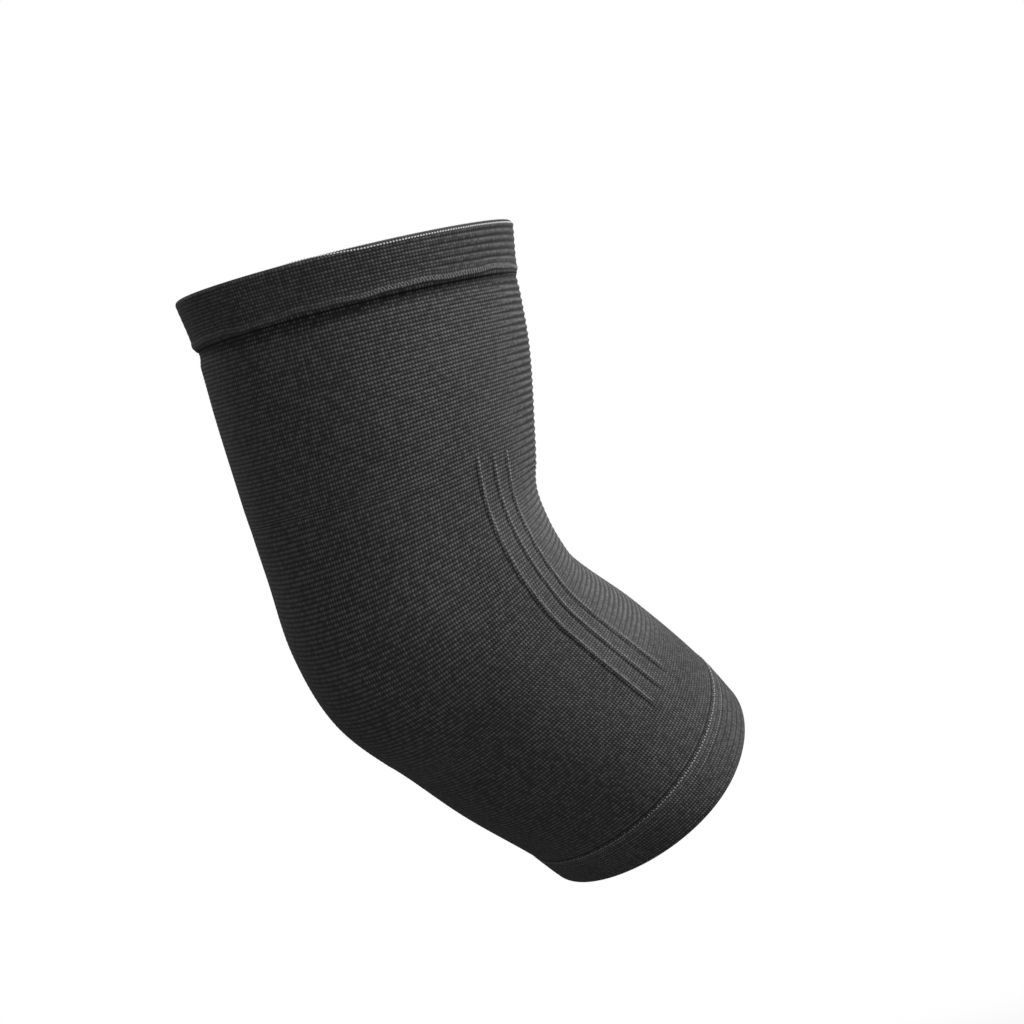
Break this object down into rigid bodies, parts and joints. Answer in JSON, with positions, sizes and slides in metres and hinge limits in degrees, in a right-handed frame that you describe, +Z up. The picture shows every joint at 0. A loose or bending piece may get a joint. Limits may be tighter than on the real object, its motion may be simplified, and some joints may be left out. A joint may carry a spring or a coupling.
{
  "type": "elbow brace",
  "caption": "Knitted elastic elbow sleeve in its bent, worn form, hollow from end to end, with a folded cuff at each end and rib lines along its sides.",
  "frame": {"origin": "inside the elbow, where the axes of the upper arm run and the forearm run meet", "axes": "+Z up the upper arm to the wide rim, +X towards the crook of the elbow, and the forearm run leaves towards +X and -Z in the plane Y = 0"},
  "size_m": [0.1595, 0.1082, 0.2157],
  "materials": {
    "body_knit": "matte charcoal elastic knit",
    "upper_cuff_knit": "matte charcoal elastic knit, folded double",
    "lower_cuff_knit": "matte charcoal elastic knit, folded double"
  },
  "bodies": {
    "root": {"sleeve_body": "body_knit", "upper_cuff": "upper_cuff_knit", "lower_cuff": "lower_cuff_knit"}
  },
  "joints": []
}
